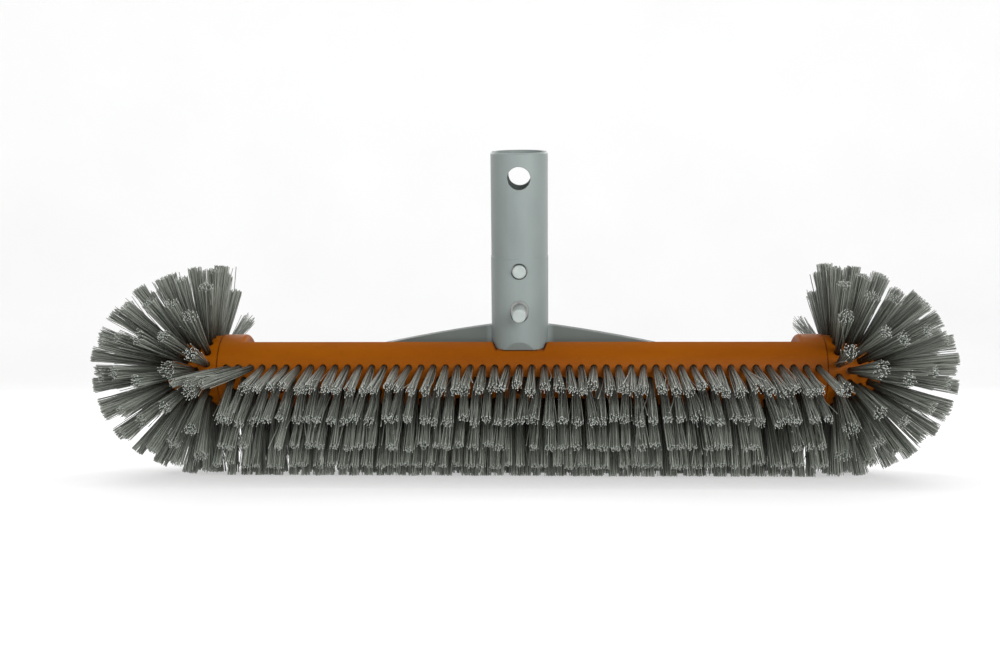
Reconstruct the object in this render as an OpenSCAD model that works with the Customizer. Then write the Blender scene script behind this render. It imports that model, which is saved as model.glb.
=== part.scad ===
// Round pool wall brush: a tube-shaped body with bristle tufts round it, two domed end caps
// with tufts all over them, and a pole socket that leans forward and holds a two-legged clip.
// Frame: the origin is on the ground under the middle of the brush. X runs along the body,
// -Y is the front and +Z is up. Heights named *_h are from the body's axis, and those of the
// socket and its clip run along the leaning socket.

/* [Body] */
// Height of the body's axis above the ground that the bristles stand on
ground_h = 53; // [52:0.25:53.5]
// Outer radius of the body
body_r = 18.8; // [18.5:0.1:19.2]
// Distance from the middle to the seam between the body and an end cap
seam_x = 153.5; // [153:0.5:157]
// Length of the full-round collar at each end of the body
collar_w = 13; // [9:0.5:16]
// Radius of the bore at each end of the body
bore_r = 9.5; // [8.5:0.1:9.6]
// Half the length of the solid web between the two bores
web_x = 14; // [12:1:20]

/* [Trough along the top] */
// Height of the rims at the front and the back of the trough
rim_h = 14.6; // [14.2:0.1:15]
// Thickness of a rim
rim_t = 2.4; // [1.8:0.2:2.6]
// Height of the trough's floor
trough_h = 11.2; // [11.1:0.05:11.3]

/* [End caps] */
// Length of the dome beyond the seam
cap_len = 31.5; // [31:0.25:33]
// Radius of the dome at the seam
cap_r = 18.3; // [18:0.1:18.4]
// Radius of the dome's nose
nose_r = 13; // [12.8:0.1:13.4]
// Length of the plug that enters the body's bore
plug_len = 12; // [8:1:16]

/* [Bristle tufts] */
// Free length of a tuft
tuft_len = 36.7; // [34:0.1:38]
// Radius of a tuft at its root
tuft_root_r = 1.6; // [1.4:0.05:1.6]
// Radius of a tuft at its tip
tuft_tip_r = 2.45; // [2:0.05:2.6]
// Distance between tufts along a row
pitch = 6.2; // [6.1:0.05:6.3]
// Angle between one row's roots and the next, round the body
row_step = 18.8; // [18:0.1:19]
// Angle between one row's direction and the next
aim_step = 14.84; // [14.2:0.02:15.4]

/* [Pole socket] */
// How far the socket leans to the front of the body
lean = 14; // [12:0.5:16]
// Outer diameter of the stretch that enters the pole's end
socket_d = 28.6; // [28.3:0.1:28.8]
// Wall thickness of the socket
socket_wall = 2.2; // [2.1:0.1:2.3]
// Height of the socket's rim
socket_h = 112.2; // [111:0.5:114]
// Depth of the cross hole's axis below the rim
cross_drop = 12.2; // [10:0.1:12.4]
// Radius of the cross hole
cross_r = 5.7; // [5:0.1:5.8]
// Depth of the lock studs below the rim
lock_drop = 58.1; // [57.5:0.1:59]
// Depth of the press buttons below the rim
press_drop = 78.5; // [77:0.1:79]
// Length of each gusset wing beyond the middle plane
wing_x = 72; // [60:1:80]
// Height of a wing's top edge at the socket
wing_h = 24.7; // [22:0.1:27]
// Thickness of a wing
wing_t = 4; // [3:0.5:5]

/* [Snap clip] */
// Radius of the lock studs and press buttons
stud_r = 3.4; // [3:0.1:3.5]
// How far a lock stud stands out of the socket
lock_out = 1.5; // [1:0.1:1.8]
// How far a press button stands out of the socket
press_out = 10.5; // [8:0.5:11]
// Width of the clip's strip
strip_w = 10; // [8:0.5:10]
// Thickness of the clip's strip
strip_t = 0.8; // [0.6:0.1:0.9]
// Height of the clip's hinge line above the lock studs
hinge_rise = 27.5; // [26:0.5:28]

/* [Hidden] */
$fn = 96;

orange = "darkorange";
grey = "lightslategray";
bristle_grey = "dimgray";
steel = "silver";

front = -1;
rear = 1;
left = -1;
right = 1;
eps = 0.01;
room = 300;

// Rows of tufts round the body: row 1 is high on the front, row 6 points straight down
rows = 11;
middle_row = (rows + 1) / 2;
tufts_in_row = 48;
staggered_rows = [2, 3, 5, 7, 9, 10];
flooded_rows = [3, 9];
grounded_rows = [5, 6, 7];
flood_x = [for (side = [left, 0, right]) side * 20 * pitch];

// Rings of tufts round each cap, from the seam to the nose: their distance from the seam, the angle
// between their tufts and the body's axis, and their count. The last one has a tuft in its middle
ring_steps = [5.3, 11, 16.5, 21.5, 26, 29.5];
ring_aims = [94, 81, 68, 54, 39, 21];
ring_tufts = [18, 18, 15, 14, 11, 8];
grounded_rings = [1, 2];

body_hole_depth = 6;
cap_hole_depth = 4.2;
hole_over = 2.5;
tuft_neck = 0.8;
anchor_t = 0.3;
hole_gap = 0.05;

collar_round = 2.4;
notch_reach = [-30, -4];

// A cap's outline is two tangent arcs: a long side arc and the nose
nose_x = cap_len - nose_r;
side_r = (pow(nose_x, 2) + pow(cap_r, 2) - pow(nose_r, 2)) / (2 * (cap_r - nose_r));
side_y = cap_r - side_r;
join_x = nose_x + nose_r * nose_x / (side_r - nose_r);
plug_gap = 0.05;
cap_core_r = 7;
cap_core_end = 14;

socket_r = socket_d / 2;
socket_in_r = socket_r - socket_wall;
shoulder_r = socket_r + 0.2;
shoulder_drop = lock_drop - 6.1;
rim_edge = 0.7;
foot_h = 13.76;
foot_floor = 5;
foot_side = 11.9;
foot_side_rise = 4.9;
foot_front = 12.47;
foot_front_rise = 4;
foot_gap = 0.35;
saddle_x = 11.2;
saddle_y = 11;
wing_bottom_h = 12.2;
wing_end_h = 14.3;
wing_bulge = 0.6;
wing_sunk = 1;
wing_toe = 3;

screw_x = 6.5;
screw_r = 1.7;
screw_head_r = 3.3;
screw_head_t = 2.6;
screw_len = 15;
screw_tip = 2;
screw_gap = 0.3;
screw_slot = [3.4, 0.8, 2.4];
pilot_len = 13;

stud_hole_r = stud_r + 0.6;
slot_w = 8.9;
slot_len = 11;
strip_y = socket_in_r - 1.4;
strip_mid_y = strip_y - strip_t / 2;
hinge_h = socket_h - lock_drop + hinge_rise;
bow_gap = 0.1;
leaf_end = 7;
rivet_r = 1.5;
rivet_head_r = 2.4;
rivet_head_t = 0.6;
stud_edge = 0.5;
button_edge = 0.4;

function in_list(item, items) = len(search(item, items)) > 0;
function root_angle(row) = 90 + (row - middle_row) * row_step;
function aim_angle(row) = 90 + (row - middle_row) * aim_step;
function row_shift(row) = in_list(row, staggered_rows) ? 0.5 : 0;
function tuft_slots(row) = [
    for (i = [-tufts_in_row / 2 : tufts_in_row / 2]) (i + row_shift(row)) * pitch
];
function is_flood(row, x) =
    in_list(row, flooded_rows) && min([for (f = flood_x) abs(x - f)]) < 0.75 * pitch;
function row_xs(row) = [
    for (x = tuft_slots(row)) if (x < tufts_in_row / 2 * pitch + eps && !is_flood(row, x)) x
];
function ring_normal(step) =
    step < join_x ? acos(step / side_r) : acos((step - nose_x) / nose_r);
function ring_r(step) =
    step < join_x ? side_y + side_r * sin(ring_normal(step)) : nose_r * sin(ring_normal(step));

// ---------- Placing and repeating ----------

// Heights are drawn from the body's axis, and the whole part stands on its bristles
module on_axis() {
    translate([0, 0, ground_h]) children();
}

// The socket and all it holds lean to the front together
module on_socket() {
    on_axis() leaning() children();
}

module leaning() {
    rotate([lean, 0, 0]) children();
}

// Extrudes a (Y, Z) outline along X, the same way each side of the middle
module along_x(length) {
    rotate([90, 0, 90]) linear_extrude(length, center = true) children();
}

// Extrudes an (X, Z) outline along Y between two places
module along_y(from_y, to_y) {
    translate([0, to_y, 0]) rotate([90, 0, 0]) linear_extrude(to_y - from_y) children();
}

module at_row_tuft(row, x) {
    on_axis()
        translate([x, -body_r * cos(root_angle(row)), -body_r * sin(root_angle(row))])
            rotate([90 + aim_angle(row), 0, 0]) children();
}

module at_row_tufts(row) {
    for (x = row_xs(row)) at_row_tuft(row, x) children();
}

module at_ring_tufts(side, ring) {
    step = ring_steps[ring - 1];
    turn = 360 / ring_tufts[ring - 1];
    first = ring % 2 == 0 ? turn / 2 : 0;
    on_axis()
        for (i = [0 : ring_tufts[ring - 1] - 1])
            rotate([first + i * turn, 0, 0])
                translate([side * (seam_x + step), 0, ring_r(step)])
                    rotate([0, side * (90 - ring_aims[ring - 1]), 0]) children();
}

module at_nose_tuft(side) {
    on_axis()
        translate([side * (seam_x + cap_len), 0, 0]) rotate([0, side * 90, 0]) children();
}

// What stands below the ground plane is cut off flat
module trimmed_at_ground() {
    intersection() {
        children();
        translate([-room, -room, 0]) cube(2 * room);
    }
}

// ---------- Bristles ----------

// A tuft: packed tight in its hole, then spreading towards its cut tip
module tuft(depth) {
    sunk = depth - anchor_t - 2 * hole_gap;
    rotate_extrude($fn = 24)
        polygon([
            [0, -sunk], [tuft_root_r, -sunk], [tuft_root_r, tuft_neck],
            [tuft_tip_r, tuft_len], [0, tuft_len]
        ]);
}

module tuft_hole(depth) {
    translate([0, 0, -depth])
        cylinder(h = depth + hole_over, r = tuft_root_r + hole_gap, $fn = 24);
}

// The flat wire anchor under a tuft, near the bottom of its hole
module tuft_anchor(depth) {
    translate([0, 0, hole_gap - depth]) cylinder(h = anchor_t, r = tuft_root_r, $fn = 24);
}

module bristle_row(row) {
    color(bristle_grey)
        if (in_list(row, grounded_rows)) {
            trimmed_at_ground() at_row_tufts(row) tuft(body_hole_depth);
        } else {
            at_row_tufts(row) tuft(body_hole_depth);
        }
}

module ring_of_tufts(side, ring) {
    at_ring_tufts(side, ring) tuft(cap_hole_depth);
    if (ring == len(ring_steps)) at_nose_tuft(side) tuft(cap_hole_depth);
}

module cap_tufts(side, ring) {
    color(bristle_grey)
        if (in_list(ring, grounded_rings)) {
            trimmed_at_ground() ring_of_tufts(side, ring);
        } else {
            ring_of_tufts(side, ring);
        }
}

module body_tuft_anchors() {
    color(steel)
        for (row = [1 : rows]) at_row_tufts(row) tuft_anchor(body_hole_depth);
}

module cap_tuft_anchors(side) {
    color(steel) {
        for (ring = [1 : len(ring_steps)]) at_ring_tufts(side, ring) tuft_anchor(cap_hole_depth);
        at_nose_tuft(side) tuft_anchor(cap_hole_depth);
    }
}

// ---------- Body and end caps ----------

module trough_cut() {
    rim_y = sqrt(pow(body_r, 2) - pow(rim_h, 2));
    inner_y = rim_y - rim_t;
    top = 2 * body_r;
    along_x(2 * (seam_x - collar_w))
        polygon([
            [-rim_y, rim_h], [-inner_y, rim_h], [-inner_y, trough_h], [inner_y, trough_h],
            [inner_y, rim_h], [rim_y, rim_h], [rim_y, top], [-rim_y, top]
        ]);
}

// Rounds the top edge of a collar's inner end
module collar_rounding(side) {
    intersection() {
        rotate([0, side * 90, 0])
            translate([0, 0, seam_x - collar_w])
                rotate_extrude()
                    difference() {
                        translate([body_r - collar_round, -1])
                            square([collar_round + 1, collar_round + 1]);
                        translate([body_r - collar_round, collar_round]) circle(collar_round);
                    }
        translate([-room, -room, rim_h]) cube([2 * room, 2 * room, room]);
    }
}

// The notch in the front rim that the socket's foot drops into
module foot_notch() {
    low = foot_h - foot_gap;
    narrow = foot_side + foot_gap;
    wide = shoulder_r + foot_gap;
    top = 2 * body_r;
    along_y(notch_reach[0], notch_reach[1])
        polygon([
            [-narrow, low], [narrow, low], [wide, low + foot_side_rise],
            [wide, top], [-wide, top], [-wide, low + foot_side_rise]
        ]);
}

module flood_slot(row, x) {
    half = 2.5;
    width = 3.2;
    rotate([90 + root_angle(row), 0, 0])
        translate([x, 0, bore_r - 1]) {
            for (end = [-half, half])
                translate([end, 0, 0]) cylinder(h = body_r, r = width / 2, $fn = 32);
            translate([-half, -width / 2, 0]) cube([2 * half, width, body_r]);
        }
}

module end_bore(side) {
    rotate([0, side * 90, 0]) translate([0, 0, web_x]) cylinder(h = seam_x, r = bore_r);
}

// The wedge under the socket's foot that its screws bite into
module saddle() {
    depth = 8;
    translate([-saddle_x, -saddle_y, foot_h - depth])
        cube([2 * saddle_x, 2 * saddle_y, depth]);
}

module body_shell() {
    difference() {
        union() {
            difference() {
                rotate([0, 90, 0]) cylinder(h = 2 * seam_x, r = body_r, center = true);
                trough_cut();
                collar_rounding(left);
                collar_rounding(right);
                leaning() foot_notch();
            }
            leaning() saddle();
        }
        end_bore(left);
        end_bore(right);
        leaning()
            for (x = [-screw_x, screw_x])
                translate([x, 0, foot_h - pilot_len])
                    cylinder(h = 2 * pilot_len, r = screw_r + hole_gap);
        for (row = flooded_rows, x = flood_x) flood_slot(row, x);
    }
}

module brush_body() {
    color(orange)
        difference() {
            on_axis() body_shell();
            for (row = [1 : rows]) at_row_tufts(row) tuft_hole(body_hole_depth);
        }
}

// Half of a cap's outline, in (radius, distance from the seam)
module cap_outline() {
    intersection() {
        translate([side_y, 0]) circle(side_r, $fn = 180);
        square([cap_r, join_x]);
    }
    intersection() {
        translate([0, nose_x]) circle(nose_r);
        translate([0, join_x - eps]) square([nose_r, cap_len]);
    }
}

module end_cap(side) {
    color(orange)
        difference() {
            on_axis()
                translate([side * seam_x, 0, 0]) rotate([0, side * 90, 0])
                    difference() {
                        union() {
                            rotate_extrude() cap_outline();
                            translate([0, 0, -plug_len])
                                cylinder(h = plug_len + 1, r = bore_r - plug_gap);
                        }
                        translate([0, 0, -plug_len - 1])
                            cylinder(h = plug_len + 1 + cap_core_end, r = cap_core_r);
                    }
            for (ring = [1 : len(ring_steps)]) at_ring_tufts(side, ring) tuft_hole(cap_hole_depth);
            at_nose_tuft(side) tuft_hole(cap_hole_depth);
        }
}

// ---------- Pole socket ----------

// The foot narrows to a flat sole, with a sloping facet on each of its four sides
module foot_side_taper() {
    top = socket_h + 10;
    side_out = foot_side + (shoulder_r - foot_side) * 2;
    reach = 2 * wing_x;
    along_y(-reach, reach)
        polygon([
            [-foot_side, foot_h], [foot_side, foot_h], [side_out, foot_h + 2 * foot_side_rise],
            [side_out, top], [-side_out, top], [-side_out, foot_h + 2 * foot_side_rise]
        ]);
}

module foot_front_taper() {
    top = socket_h + 10;
    front_out = foot_front + (socket_r - foot_front) * 2;
    along_x(2 * wing_x)
        polygon([
            [-foot_front, foot_h], [foot_front, foot_h], [front_out, foot_h + 2 * foot_front_rise],
            [front_out, top], [-front_out, top], [-front_out, foot_h + 2 * foot_front_rise]
        ]);
}

module socket_tube() {
    floor_h = foot_h + foot_floor;
    intersection() {
        rotate_extrude()
            polygon([
                [0, foot_h], [shoulder_r, foot_h], [shoulder_r, socket_h - shoulder_drop],
                [socket_r, socket_h - shoulder_drop], [socket_r, socket_h - rim_edge],
                [socket_r - rim_edge, socket_h], [socket_in_r, socket_h],
                [socket_in_r, floor_h], [0, floor_h]
            ]);
        foot_side_taper();
        foot_front_taper();
    }
}

module wing(side) {
    start = socket_r - wing_sunk;
    span = wing_x - start;
    steps = 6;
    mirror([side == left ? 1 : 0, 0, 0])
        along_y(-wing_t / 2, wing_t / 2)
            polygon(concat(
                [[start, wing_bottom_h + wing_toe], [socket_r + wing_sunk, wing_bottom_h],
                 [wing_x, wing_bottom_h]],
                [for (i = [0 : steps])
                    let (s = 1 - i / steps)
                    [start + span * s,
                     wing_h + (wing_end_h - wing_h) * s + 4 * wing_bulge * s * (1 - s)]]
            ));
}

module wall_holes() {
    lock_h = socket_h - lock_drop;
    press_h = socket_h - press_drop;
    reach = 2 * socket_d;
    half_slot = (slot_len - slot_w) / 2;
    rotate([90, 0, 0]) {
        translate([0, socket_h - cross_drop, 0]) cylinder(h = reach, r = cross_r, center = true);
        translate([0, lock_h, 0]) cylinder(h = reach, r = stud_hole_r, center = true);
        for (end = [-half_slot, half_slot])
            translate([0, press_h + end, 0]) cylinder(h = reach, r = slot_w / 2, center = true);
        translate([0, press_h, 0]) cube([slot_w, 2 * half_slot, reach], center = true);
    }
}

module screw_hole(x) {
    head_h = foot_h + foot_floor - screw_head_t;
    translate([x, 0, foot_h - 1]) cylinder(h = foot_floor + 2, r = screw_r + screw_gap);
    translate([x, 0, head_h])
        cylinder(h = screw_head_t + eps, r1 = screw_r + screw_gap, r2 = screw_head_r + screw_gap);
}

module handle_socket() {
    color(grey)
        on_socket()
            difference() {
                union() {
                    socket_tube();
                    wing(left);
                    wing(right);
                }
                wall_holes();
                screw_hole(-screw_x);
                screw_hole(screw_x);
            }
}

module handle_screws() {
    top = foot_h + foot_floor - 0.1;
    color(steel)
        on_socket()
            for (x = [-screw_x, screw_x])
                translate([x, 0, top])
                    difference() {
                        rotate_extrude()
                            polygon([
                                [0, 0], [screw_head_r, 0], [screw_r, screw_gap - screw_head_t],
                                [screw_r, screw_tip - screw_len], [0, -screw_len]
                            ]);
                        for (turn = [0, 90])
                            rotate([0, 0, turn]) cube(screw_slot, center = true);
                    }
}

// ---------- Snap clip ----------

// Drawn for the front; the rear one is its mirror image
module on_side(side) {
    on_socket() mirror([0, side == rear ? 1 : 0, 0]) children();
}

module clip_bow() {
    color(steel)
        on_socket()
            translate([0, 0, hinge_h + strip_t / 2 + bow_gap])
                rotate([0, 90, 0])
                    difference() {
                        cylinder(h = strip_w, r = strip_y, center = true);
                        cylinder(h = strip_w + 1, r = strip_y - strip_t, center = true);
                        translate([0, -strip_y - 1, -strip_w])
                            cube([strip_y + 1, 2 * strip_y + 2, 2 * strip_w]);
                    }
}

module clip_leaf(side) {
    low = socket_h - press_drop - leaf_end;
    color(steel)
        on_side(side)
            difference() {
                union() {
                    translate([-strip_w / 2, -strip_y, low]) cube([strip_w, strip_t, hinge_h - low]);
                    translate([0, -strip_mid_y, hinge_h])
                        rotate([0, 90, 0]) cylinder(h = strip_w, r = strip_t / 2, center = true);
                }
                for (drop = [lock_drop, press_drop])
                    translate([0, -strip_mid_y, socket_h - drop])
                        rotate([90, 0, 0])
                            cylinder(h = 4 * strip_t, r = rivet_r + hole_gap, center = true);
            }
}

// A stud or button riveted through the strip: shank outside, rivet and its head inside
module riveted(side, drop, length, edge) {
    inside = -strip_t;
    on_side(side)
        translate([0, -strip_y, socket_h - drop])
            rotate([90, 0, 0])
                rotate_extrude()
                    polygon([
                        [0, inside - rivet_head_t], [rivet_head_r, inside - rivet_head_t],
                        [rivet_head_r, inside], [rivet_r, inside], [rivet_r, 0], [stud_r, 0],
                        [stud_r, length - edge], [stud_r - edge, length], [0, length]
                    ]);
}

module lock_stud(side) {
    color(grey) riveted(side, lock_drop, shoulder_r + lock_out - strip_y, stud_edge);
}

module press_button(side) {
    color(grey) riveted(side, press_drop, shoulder_r + press_out - strip_y, button_edge);
}

brush_body();
end_cap(left);  // left_end_cap
end_cap(right);  // right_end_cap
handle_socket();
handle_screws();
clip_bow();
clip_leaf(front);  // front_clip_leaf
clip_leaf(rear);  // rear_clip_leaf
lock_stud(front);  // front_lock_stud
lock_stud(rear);  // rear_lock_stud
press_button(front);  // front_press_button
press_button(rear);  // rear_press_button
bristle_row(1);  // bristle_row_01
bristle_row(2);  // bristle_row_02
bristle_row(3);  // bristle_row_03
bristle_row(4);  // bristle_row_04
bristle_row(5);  // bristle_row_05
bristle_row(6);  // bristle_row_06
bristle_row(7);  // bristle_row_07
bristle_row(8);  // bristle_row_08
bristle_row(9);  // bristle_row_09
bristle_row(10);  // bristle_row_10
bristle_row(11);  // bristle_row_11
cap_tufts(left, 1);  // left_cap_tufts_1
cap_tufts(left, 2);  // left_cap_tufts_2
cap_tufts(left, 3);  // left_cap_tufts_3
cap_tufts(left, 4);  // left_cap_tufts_4
cap_tufts(left, 5);  // left_cap_tufts_5
cap_tufts(left, 6);  // left_cap_tufts_6
cap_tufts(right, 1);  // right_cap_tufts_1
cap_tufts(right, 2);  // right_cap_tufts_2
cap_tufts(right, 3);  // right_cap_tufts_3
cap_tufts(right, 4);  // right_cap_tufts_4
cap_tufts(right, 5);  // right_cap_tufts_5
cap_tufts(right, 6);  // right_cap_tufts_6
body_tuft_anchors();
cap_tuft_anchors(left);  // left_cap_tuft_anchors
cap_tuft_anchors(right);  // right_cap_tuft_anchors
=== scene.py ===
# A round pool wall brush on a pale studio floor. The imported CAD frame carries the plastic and
# steel pieces, and every bristle tuft is built here, filament by filament, round the axis of its
# CAD tuft. Lengths are in metres.

import math

import bpy
import numpy as np
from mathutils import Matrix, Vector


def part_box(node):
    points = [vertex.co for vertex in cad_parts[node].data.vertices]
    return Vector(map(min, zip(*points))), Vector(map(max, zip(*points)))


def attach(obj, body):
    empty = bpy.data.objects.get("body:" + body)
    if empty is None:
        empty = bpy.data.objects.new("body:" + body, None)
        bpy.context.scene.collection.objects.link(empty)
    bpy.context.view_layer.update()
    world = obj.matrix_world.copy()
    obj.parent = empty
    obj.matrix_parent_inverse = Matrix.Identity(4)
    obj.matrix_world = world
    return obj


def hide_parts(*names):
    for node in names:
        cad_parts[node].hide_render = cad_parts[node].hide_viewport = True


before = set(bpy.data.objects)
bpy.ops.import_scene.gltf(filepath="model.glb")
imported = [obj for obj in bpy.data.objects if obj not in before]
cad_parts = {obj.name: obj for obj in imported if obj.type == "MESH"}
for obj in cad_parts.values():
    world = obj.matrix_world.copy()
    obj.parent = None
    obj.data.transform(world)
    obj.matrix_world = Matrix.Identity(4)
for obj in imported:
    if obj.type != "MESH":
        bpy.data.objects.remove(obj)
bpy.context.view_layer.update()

MM = 0.001

# ---------- Places read from the frame ----------

cap_low, cap_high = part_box("left_end_cap")
AXIS_H = (cap_low.z + cap_high.z) / 2  # height of the round body's axis
SEAM_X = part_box("brush_body")[1].x  # the seams between body and caps are at -SEAM_X and SEAM_X
tuft_rows = sorted(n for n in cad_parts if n.startswith("bristle_row_"))
cap_rings = sorted(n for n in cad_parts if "_cap_tufts_" in n)

# ---------- Node helpers ----------


def new_material(name):
    material = bpy.data.materials.new(name)
    material.use_nodes = True
    nodes = material.node_tree.nodes
    return material, nodes, material.node_tree.links, nodes["Principled BSDF"]


def position(nodes, links, scale=(1, 1, 1)):
    """Object coordinates in metres, stretched by scale."""
    coords = nodes.new("ShaderNodeTexCoord")
    mapping = nodes.new("ShaderNodeMapping")
    mapping.inputs["Scale"].default_value = scale
    links.new(coords.outputs["Object"], mapping.inputs["Vector"])
    return mapping.outputs["Vector"]


def noise(nodes, links, vector, scale, detail=3.0, roughness=0.5):
    node = nodes.new("ShaderNodeTexNoise")
    node.inputs["Scale"].default_value = scale
    node.inputs["Detail"].default_value = detail
    node.inputs["Roughness"].default_value = roughness
    links.new(vector, node.inputs["Vector"])
    return node.outputs["Fac"]


def ramp(nodes, links, value, stops):
    """Colours along a value: stops are (position, (r, g, b)), in linear light."""
    node = nodes.new("ShaderNodeValToRGB")
    points = node.color_ramp.elements
    while len(points) < len(stops):
        points.new(0.5)
    for point, (where, colour) in zip(points, stops):
        point.position = where
        point.color = (*colour, 1)
    links.new(value, node.inputs["Fac"])
    return node.outputs["Color"]


def spread(nodes, links, value, low, high, from_low=0.0, from_high=1.0):
    """A value between from_low and from_high, mapped to one between low and high."""
    node = nodes.new("ShaderNodeMapRange")
    node.inputs["From Min"].default_value = from_low
    node.inputs["From Max"].default_value = from_high
    node.inputs["To Min"].default_value = low
    node.inputs["To Max"].default_value = high
    links.new(value, node.inputs["Value"])
    return node.outputs["Result"]


def away_from(nodes, links, value, number=0.0):
    """How far a value is from a number."""
    less = nodes.new("ShaderNodeMath")
    less.operation = "SUBTRACT"
    less.inputs[1].default_value = number
    links.new(value, less.inputs[0])
    size = nodes.new("ShaderNodeMath")
    size.operation = "ABSOLUTE"
    links.new(less.outputs["Value"], size.inputs[0])
    return size.outputs["Value"]


def from_middle(nodes, links, vector):
    """How far a place is to the left or right of the brush's middle."""
    apart = nodes.new("ShaderNodeSeparateXYZ")
    links.new(vector, apart.inputs["Vector"])
    return away_from(nodes, links, apart.outputs["X"])


def mix(nodes, links, share, under, over):
    """The colour under, with a share of the plain colour over laid on it."""
    node = nodes.new("ShaderNodeMix")
    node.data_type = "RGBA"
    links.new(share, node.inputs["Factor"])
    links.new(under, node.inputs["A"])
    node.inputs["B"].default_value = (*over, 1)
    return node.outputs["Result"]


def bump(nodes, links, height, strength, distance, edge):
    """A bump whose starting normal rounds the part's sharp edges by edge."""
    bevel = nodes.new("ShaderNodeBevel")
    bevel.samples = 6
    bevel.inputs["Radius"].default_value = edge
    node = nodes.new("ShaderNodeBump")
    node.inputs["Strength"].default_value = strength
    node.inputs["Distance"].default_value = distance
    links.new(height, node.inputs["Height"])
    links.new(bevel.outputs["Normal"], node.inputs["Normal"])
    return node.outputs["Normal"]


# ---------- Materials ----------

SEAM_HALF = 0.15 * MM  # half the seam's width, and how far out its dark line fades
SEAM_FADE = 0.45 * MM
WING_START = 14.4 * MM  # painted shade darkens the socket's wings outside its tube, which ends here
WING_FULL_SHADE = 17.5 * MM
CUT_END = 1.08  # the "along" of a filament's cut end; its root is 0 and its tip 1


def orange_plastic():
    """Moulded orange plastic with faint flow marks, grime, and a dark line at each cap's seam."""
    material, nodes, links, shader = new_material("orange_plastic")
    vector = position(nodes, links)
    flow = noise(nodes, links, position(nodes, links, (0.25, 1, 1)), 45, 4)
    colour = ramp(nodes, links, flow, [
        (0.30, (0.205, 0.051, 0.001)),
        (0.52, (0.235, 0.062, 0.001)),
        (0.72, (0.270, 0.074, 0.001)),
    ])
    grime = noise(nodes, links, vector, 260, 5, 0.6)
    dust = spread(nodes, links, grime, 0.0, 0.25, 0.55, 0.75)
    dusted_and_shaded = mix(nodes, links, dust, colour, (0.180, 0.044, 0.001))
    from_seam = away_from(nodes, links, from_middle(nodes, links, vector), SEAM_X)
    seam = spread(nodes, links, from_seam, 0.85, 0.0, SEAM_HALF, SEAM_FADE)
    links.new(mix(nodes, links, seam, dusted_and_shaded, (0.06, 0.009, 0.001)), shader.inputs["Base Color"])
    links.new(spread(nodes, links, grime, 0.34, 0.50), shader.inputs["Roughness"])
    grain = noise(nodes, links, vector, 1400, 2)
    links.new(bump(nodes, links, grain, 0.10, 0.0004, 0.0006), shader.inputs["Normal"])
    shader.inputs["Specular IOR Level"].default_value = 0.06
    shader.inputs["Subsurface Weight"].default_value = 0.10
    shader.inputs["Subsurface Radius"].default_value = (0.004, 0.0015, 0.0004)
    shader.inputs["Subsurface Scale"].default_value = 1.0
    return material


def grey_plastic():
    """The socket's grey plastic, with painted shade darkening its wings."""
    material, nodes, links, shader = new_material("grey_plastic")
    vector = position(nodes, links)
    cloud = noise(nodes, links, position(nodes, links, (1, 1, 0.35)), 60, 4)
    colour = ramp(nodes, links, cloud, [
        (0.30, (0.190, 0.222, 0.214)),
        (0.55, (0.212, 0.247, 0.238)),
        (0.75, (0.232, 0.268, 0.258)),
    ])
    sideways = from_middle(nodes, links, vector)
    # painted shade: the colour darkens from the tube's edge out over the wings
    wing_shade = spread(nodes, links, sideways, 0.0, 0.75, WING_START, WING_FULL_SHADE)
    colour = mix(nodes, links, wing_shade, colour, (0.062, 0.070, 0.062))
    links.new(colour, shader.inputs["Base Color"])
    links.new(spread(nodes, links, cloud, 0.36, 0.50), shader.inputs["Roughness"])
    grain = noise(nodes, links, vector, 1100, 3)
    links.new(bump(nodes, links, grain, 0.14, 0.0004, 0.0007), shader.inputs["Normal"])
    return material


def pale_plastic():
    """The paler plastic of the studs and buttons."""
    material, nodes, links, shader = new_material("pale_plastic")
    vector = position(nodes, links)
    cloud = noise(nodes, links, vector, 300, 4)
    colour = ramp(nodes, links, cloud, [
        (0.3, (0.34, 0.385, 0.365)),
        (0.7, (0.40, 0.44, 0.42)),
    ])
    links.new(colour, shader.inputs["Base Color"])
    links.new(spread(nodes, links, cloud, 0.32, 0.46), shader.inputs["Roughness"])
    links.new(bump(nodes, links, cloud, 0.10, 0.0003, 0.0005), shader.inputs["Normal"])
    return material


def steel(name, base, grain_axis):
    """Rolled steel, with its grain along one axis."""
    material, nodes, links, shader = new_material(name)
    stretch = [900.0, 900.0, 900.0]
    stretch[grain_axis] = 30.0
    grain = noise(nodes, links, position(nodes, links, stretch), 1.0, 5, 0.65)
    bright = tuple(min(1, c * 1.25) for c in base)
    links.new(ramp(nodes, links, grain, [(0.3, base), (0.7, bright)]), shader.inputs["Base Color"])
    links.new(spread(nodes, links, grain, 0.22, 0.42), shader.inputs["Roughness"])
    links.new(bump(nodes, links, grain, 0.15, 0.0001, 0.0002), shader.inputs["Normal"])
    shader.inputs["Metallic"].default_value = 1.0
    return material


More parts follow.
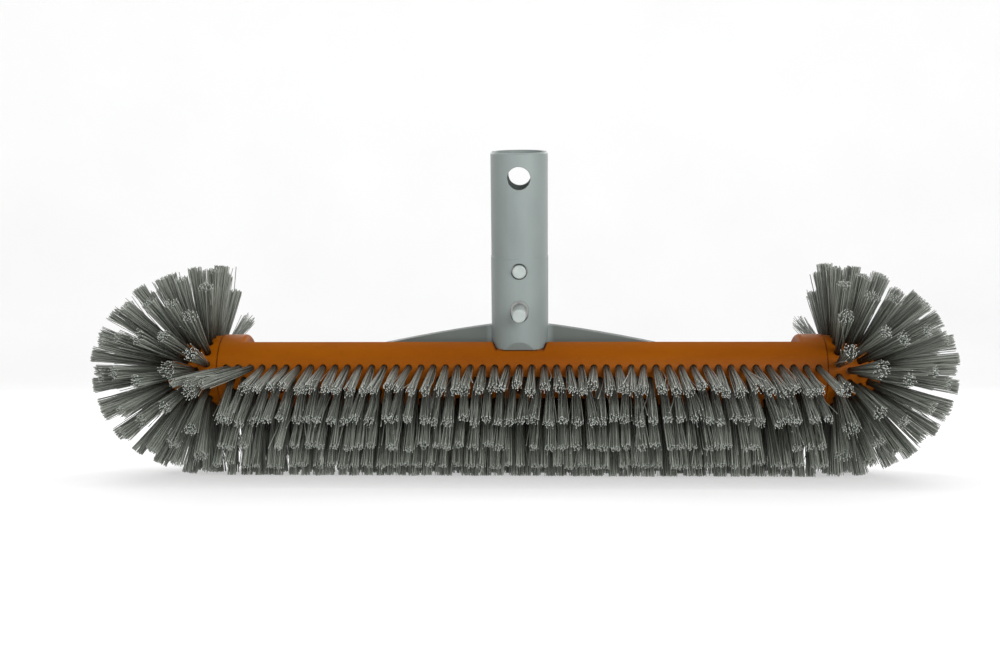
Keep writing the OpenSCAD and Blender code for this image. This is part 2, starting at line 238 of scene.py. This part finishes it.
def nylon():
    """Bristle nylon: each filament has its own tone, a root darkened by painted shade and a cut
    end paled by a painted highlight.
    """
    material, nodes, links, shader = new_material("bristle_nylon")
    tone = nodes.new("ShaderNodeAttribute")
    tone.attribute_name = "tone"
    along = nodes.new("ShaderNodeAttribute")
    along.attribute_name = "along"
    body = ramp(nodes, links, tone.outputs["Fac"], [
        (0.0, (0.070, 0.076, 0.062)),
        (0.45, (0.205, 0.223, 0.190)),
        (1.0, (0.400, 0.424, 0.375)),
    ])
    # painted shade: each filament darkens towards its root
    root_shade = spread(nodes, links, along.outputs["Fac"], 0.88, 0.0, 0.0, 0.80)
    dusted_and_shaded = mix(nodes, links, root_shade, body, (0.030, 0.028, 0.020))
    # painted highlight: the cut end is paled, and the sides just short of it a little
    end = spread(nodes, links, along.outputs["Fac"], 0.0, 0.90, 0.98, CUT_END - 0.02)
    links.new(mix(nodes, links, end, dusted_and_shaded, (0.62, 0.65, 0.61)), shader.inputs["Base Color"])
    streak = noise(nodes, links, position(nodes, links), 900, 2)
    links.new(spread(nodes, links, streak, 0.28, 0.50), shader.inputs["Roughness"])
    shader.inputs["Specular IOR Level"].default_value = 0.55
    return material


def studio_floor():
    """Pale paper with a weak glow, so that it is near white from all sides."""
    material, nodes, links, shader = new_material("studio_floor")
    cloud = noise(nodes, links, position(nodes, links), 3, 3)
    colour = ramp(nodes, links, cloud, [(0.2, (0.46, 0.46, 0.46)), (0.8, (0.50, 0.50, 0.50))])
    links.new(colour, shader.inputs["Base Color"])
    links.new(spread(nodes, links, cloud, 0.7, 0.9), shader.inputs["Roughness"])
    shader.inputs["Emission Color"].default_value = (1, 1, 1, 1)
    shader.inputs["Emission Strength"].default_value = 0.46
    return material


# ---------- Bristles ----------

# Filaments in a tuft, radius of a tuft at its tips, and how far whole tufts lean at random
ROW_FILAMENTS, ROW_TIP_SPREAD, ROW_SWAY = 38, 2.45 * MM, 0.028
CAP_FILAMENTS, CAP_TIP_SPREAD, CAP_SWAY = 60, 3.6 * MM, 0.045

# One filament: corners round it, rings along it, and its radius
SIDES = 4
RINGS = 4
FILAMENT_R = 0.20 * MM

# One tuft: its radius in the hole, and how deep in the hole its filaments start
ROOT_SPREAD = 1.42 * MM
START_DEPTH = 3.0 * MM

# A CAD tuft's rings of corners: the root ring lies within ROOT_RING of the root, and the neck
# ring between the two distances in NECK, MOUTH_STEP above the mouth of the tuft's hole
ROOT_RING = 1.5 * MM
NECK = (2 * MM, 12 * MM)
MOUTH_STEP = 0.8 * MM

# How the filaments of a tuft are laid out
GOLDEN_ANGLE = 2.39996
BEND_POWER = 1.2  # how late along its length a filament turns out towards its tip
SPARE_LENGTH = 0.5 * MM
STEEP = 0.05  # a filament that falls by this share of its length or more can reach the ground

# Random variation: ranges, and standard deviations of lengths
FAN_RANGE = (0.82, 1.18)
THICKNESS_RANGE = (0.88, 1.12)
TONE_SHAPE = (1.5, 1.7)  # of a beta distribution
TUFT_LENGTH = 0.35 * MM
TIP_SHIFT = 0.45 * MM
BEND = 0.35 * MM
CUT_SHORT = 0.7 * MM
GROUND_TRIM = 0.25 * MM
STRAY_SHARE = 0.035  # this share of the filaments strays at the tip and bends more
STRAY_SHIFT = 2.2 * MM
STRAY_BEND = 3

# The first tufts of the front row are swept over the left cap by use
SWEPT_TUFTS = 3
SWEEP = (-0.50, 0.0, 0.03)


def islands(mesh):
    """The separate solids of a mesh, each as an array of its corner points."""
    points = np.array([v.co for v in mesh.vertices], float).reshape(-1, 3)
    keys = {}
    merged = [keys.setdefault(tuple(np.round(p, 7)), len(keys)) for p in points]
    parent = list(range(len(keys)))

    def root(i):
        while parent[i] != i:
            parent[i] = parent[parent[i]]
            i = parent[i]
        return i

    for face in mesh.polygons:
        corners = [root(merged[v]) for v in face.vertices]
        for other in corners[1:]:
            parent[root(other)] = root(corners[0])
    groups = {}
    for place, i in keys.items():
        groups.setdefault(root(i), []).append(place)
    return [np.array(group) for group in groups.values()]


def tuft_line(points):
    """Where a CAD tuft leaves its hole, its direction and its length: (mouth, direction, length).

    Its root is the narrower end, a ring of corners in the hole, and the next ring is its neck,
    just above the surface, where the tuft starts to spread."""
    middle = points.mean(0)
    direction = np.linalg.svd(points - middle, full_matrices=False)[2][0]
    reach = (points - middle) @ direction
    across = np.linalg.norm(points - middle - np.outer(reach, direction), axis=1)
    if across[reach > reach.max() - MM].max() < across[reach < reach.min() + MM].max():
        direction, reach = -direction, -reach
    root = points[reach < reach.min() + ROOT_RING].mean(0)
    beyond = (points - root) @ direction
    neck = points[(beyond > NECK[0]) & (beyond < NECK[1])].mean(0)
    direction = (neck - root) / np.linalg.norm(neck - root)
    length = ((points - neck) @ direction).max() + MOUTH_STEP
    return neck - MOUTH_STEP * direction, direction, length


def filament_mesh(name, tufts, filaments, tip_spread, sway, rng):
    """One mesh of every filament in these tufts: a closed, slightly bent rod for each."""
    count = len(tufts) * filaments
    mouth = np.repeat(np.array([t[0] for t in tufts]), filaments, axis=0)
    axis = np.array([t[1] for t in tufts]) + rng.normal(0, sway, (len(tufts), 3))
    axis /= np.linalg.norm(axis, axis=1)[:, None]
    full = np.array([t[2] for t in tufts]) + rng.normal(0, TUFT_LENGTH, len(tufts))
    helper = np.where(np.abs(axis[:, :1]) < 0.9, [[1.0, 0, 0]], [[0, 1.0, 0]])
    u = np.cross(axis, helper)
    u /= np.linalg.norm(u, axis=1)[:, None]
    v = np.cross(axis, u)
    axis, u, v, full = (np.repeat(a, filaments, axis=0) for a in (axis, u, v, full))

    # packed like seeds in a sunflower at the root, and spreading out to the tip
    order = np.tile(np.arange(filaments) + 0.5, len(tufts))
    angle = order * GOLDEN_ANGLE + np.repeat(rng.uniform(0, 6.28, len(tufts)), filaments)
    radius = np.sqrt(order / filaments)
    seat = np.stack([radius * np.cos(angle), radius * np.sin(angle)], 1)
    fan = np.repeat(rng.uniform(*FAN_RANGE, len(tufts)), filaments)[:, None]
    tip = seat * tip_spread * fan + rng.normal(0, TIP_SHIFT, (count, 2))
    stray = rng.random(count) < STRAY_SHARE
    tip[stray] += rng.normal(0, STRAY_SHIFT, (stray.sum(), 2))
    bow = rng.normal(0, BEND, (count, 2))
    bow[stray] *= STRAY_BEND
    length = full - np.abs(rng.normal(0, CUT_SHORT, count)) + SPARE_LENGTH

    # bristles that reach the ground are trimmed flat on it
    end_way = axis * full[:, None] + u * tip[:, :1] + v * tip[:, 1:]
    drop = -end_way[:, 2] / full
    ground = np.where(drop > STEEP, mouth[:, 2] / np.maximum(drop, STEEP), 1.0)
    length = np.minimum(length, ground - np.abs(rng.normal(0, GROUND_TRIM, count)))

    steps = np.linspace(0, 1, RINGS)
    centres = []
    for s in steps:
        out = s ** BEND_POWER
        side = seat * ROOT_SPREAD * (1 - out) + tip * out + bow * 4 * s * (1 - s)
        reach = -START_DEPTH + (length + START_DEPTH) * s
        centres.append(mouth + axis * reach[:, None] + u * side[:, :1] + v * side[:, 1:])
    centres = np.stack(centres, 1)

    # a ring of corners round each centre, and the last ring twice, so that the cut end can take a
    # painted highlight
    turn = np.arange(SIDES) * 2 * np.pi / SIDES
    thick = FILAMENT_R * rng.uniform(*THICKNESS_RANGE, count)
    ring = (u[:, None] * np.cos(turn)[None, :, None] + v[:, None] * np.sin(turn)[None, :, None])
    ring = ring * thick[:, None, None]
    shape = centres[:, :, None] + ring[:, None]
    points = np.concatenate([shape, shape[:, -1:]], 1).reshape(-1, 3)

    per = (RINGS + 1) * SIDES
    first = np.arange(count)[:, None, None] * per
    row = np.arange(RINGS - 1)[None, :, None] * SIDES
    i = np.arange(SIDES)[None, None, :]
    j = (i + 1) % SIDES
    quads = np.stack([first + row + i, first + row + j,
                      first + row + SIDES + j, first + row + SIDES + i], -1).reshape(-1, 4)
    cut_ends = np.arange(count)[:, None] * per + RINGS * SIDES + np.arange(SIDES)[None]
    root_ends = np.arange(count)[:, None] * per + np.arange(SIDES)[None, ::-1]
    corners = np.concatenate([quads.ravel(), cut_ends.ravel(), root_ends.ravel()])
    totals = np.concatenate([np.full(len(quads), 4), np.full(2 * count, SIDES)])
    starts = np.concatenate([[0], np.cumsum(totals)[:-1]])

    mesh = bpy.data.meshes.new(name + "_filaments")
    mesh.vertices.add(len(points))
    mesh.vertices.foreach_set("co", points.ravel().astype(np.float32))
    mesh.loops.add(len(corners))
    mesh.loops.foreach_set("vertex_index", corners.astype(np.int32))
    mesh.polygons.add(len(totals))
    mesh.polygons.foreach_set("loop_start", starts.astype(np.int32))
    mesh.polygons.foreach_set("loop_total", totals.astype(np.int32))
    smooth = np.concatenate([np.ones(len(quads), bool), np.zeros(2 * count, bool)])
    mesh.update(calc_edges=True)
    mesh.polygons.foreach_set("use_smooth", smooth)

    tone = np.repeat(rng.beta(*TONE_SHAPE, count), per)
    along = np.tile(np.repeat(np.append(steps, CUT_END), SIDES), count)
    for label, values in (("tone", tone), ("along", along)):
        layer = mesh.attributes.new(label, "FLOAT", "POINT")
        layer.data.foreach_set("value", values.astype(np.float32))
    mesh.validate()
    return mesh


def swept_over_the_cap(tuft):
    """A tuft at the left end of the front row, bent outwards by use."""
    mouth, direction, length = tuft
    bent = direction + np.array(SWEEP)
    return mouth, bent / np.linalg.norm(bent), length


def bristle_piece(node, material, seed):
    """The filaments of one CAD row or ring of tufts, which they replace."""
    rng = np.random.RandomState(seed)
    solids = islands(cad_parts[node].data)
    solids.sort(key=lambda points: tuple(np.round(points.mean(0), 4)))
    tufts = [tuft_line(points) for points in solids]
    if node == tuft_rows[0]:
        tufts[:SWEPT_TUFTS] = [swept_over_the_cap(tuft) for tuft in tufts[:SWEPT_TUFTS]]
    if node in tuft_rows:
        mesh = filament_mesh(node, tufts, ROW_FILAMENTS, ROW_TIP_SPREAD, ROW_SWAY, rng)
    else:
        mesh = filament_mesh(node, tufts, CAP_FILAMENTS, CAP_TIP_SPREAD, CAP_SWAY, rng)
    mesh.materials.append(material)
    piece = bpy.data.objects.new(node + "_filaments", mesh)
    bpy.context.scene.collection.objects.link(piece)
    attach(piece, "root")
    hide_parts(node)


# ---------- CAD pieces ----------


def paint(node, material):
    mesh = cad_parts[node].data
    mesh.materials.clear()
    mesh.materials.append(material)


def paint_cad_pieces():
    orange = orange_plastic()
    grey = grey_plastic()
    pale = pale_plastic()
    strip = steel("spring_steel", (0.44, 0.44, 0.43), grain_axis=2)
    screw = steel("screw_steel", (0.42, 0.42, 0.41), grain_axis=1)
    anchor = steel("anchor_steel", (0.09, 0.09, 0.085), grain_axis=0)
    for node in ("brush_body", "left_end_cap", "right_end_cap"):
        paint(node, orange)
    paint("handle_socket", grey)
    for side in ("front", "rear"):
        paint(side + "_lock_stud", pale)
        paint(side + "_press_button", pale)
        paint(side + "_clip_leaf", strip)
    paint("clip_bow", strip)
    paint("handle_screws", screw)
    for node in ("body_tuft_anchors", "left_cap_tuft_anchors", "right_cap_tuft_anchors"):
        paint(node, anchor)


# ---------- Stage, light and camera ----------

# The floor is flat to STAGE_FLAT from the middle, bends up over STAGE_BEND and ends at STAGE_TOP
STAGE_FLAT, STAGE_BEND, STAGE_TOP = 2.6, 0.9, 3.6
STAGE_AROUND = 96
STAGE_STEPS = 12


def make_stage():
    """A round pale floor that curves up into a wall all the way round."""
    bend = [math.radians(90 * k / STAGE_STEPS) for k in range(STAGE_STEPS + 1)]
    outline = [(STAGE_FLAT + STAGE_BEND * math.sin(a), STAGE_BEND * (1 - math.cos(a)))
               for a in bend]
    outline.append((STAGE_FLAT + STAGE_BEND, STAGE_TOP))
    turns = [2 * math.pi * k / STAGE_AROUND for k in range(STAGE_AROUND)]
    points = [(0.0, 0.0, 0.0)]
    points += [(r * math.cos(a), r * math.sin(a), z) for r, z in outline for a in turns]
    sides = [(k, (k + 1) % STAGE_AROUND) for k in range(STAGE_AROUND)]
    faces = [(0, 1 + k, 1 + after) for k, after in sides]
    for ring in range(len(outline) - 1):
        low = 1 + ring * STAGE_AROUND
        high = low + STAGE_AROUND
        faces += [(low + k, high + k, high + after, low + after) for k, after in sides]
    mesh = bpy.data.meshes.new("studio_floor")
    mesh.from_pydata(points, [], faces)
    mesh.polygons.foreach_set("use_smooth", [True] * len(faces))
    mesh.materials.append(studio_floor())
    floor = bpy.data.objects.new("studio_floor", mesh)
    bpy.context.scene.collection.objects.link(floor)


def area_light(name, place, target, size, watts):
    data = bpy.data.lights.new(name, "AREA")
    data.shape = "RECTANGLE"
    data.size, data.size_y = size
    data.energy = watts
    light = bpy.data.objects.new(name, data)
    bpy.context.scene.collection.objects.link(light)
    light.location = place
    aim = Vector(target) - Vector(place)
    light.rotation_euler = aim.to_track_quat("-Z", "Y").to_euler()


def make_light():
    """Soft daylight from the front right, with weak light from behind and a lit wall."""
    middle = (0, 0, AXIS_H)
    area_light("key", (0.75, -1.45, 0.40), middle, (1.1, 0.7), 18.5)
    area_light("fill", (-1.2, -1.2, 0.35), middle, (1.2, 0.9), 2)
    area_light("top", (0.0, 0.2, 1.7), middle, (1.6, 1.2), 5)
    area_light("backdrop", (0, 1.0, 2.2), (0, 2.4, 0.5), (2.5, 0.5), 30)
    area_light("back_left", (-0.9, 1.2, 0.9), middle, (1.0, 0.8), 8)
    area_light("back_right", (0.9, 1.2, 0.9), middle, (1.0, 0.8), 8)
    world = bpy.data.worlds.new("studio")
    world.use_nodes = True
    background = world.node_tree.nodes["Background"]
    background.inputs["Color"].default_value = (1, 1, 1, 1)
    background.inputs["Strength"].default_value = 0.20
    bpy.context.scene.world = world
    bpy.context.scene.view_settings.view_transform = "Standard"


def make_camera():
    """Level with the body and 0.62 m in front of it, looking slightly up and to the left."""
    data = bpy.data.cameras.new("camera")
    data.sensor_width = 36.0
    data.lens = 43.0
    camera = bpy.data.objects.new("camera", data)
    bpy.context.scene.collection.objects.link(camera)
    camera.location = (0.0125, -0.618, AXIS_H + 0.004)
    camera.rotation_euler = (math.radians(91.4), 0.0, math.radians(2.13))
    bpy.context.scene.camera = camera


# ---------- The scene ----------

make_camera()
make_light()
make_stage()
paint_cad_pieces()
bristle_material = nylon()
for number, node in enumerate(tuft_rows + cap_rings):
    bristle_piece(node, bristle_material, 100 + number)
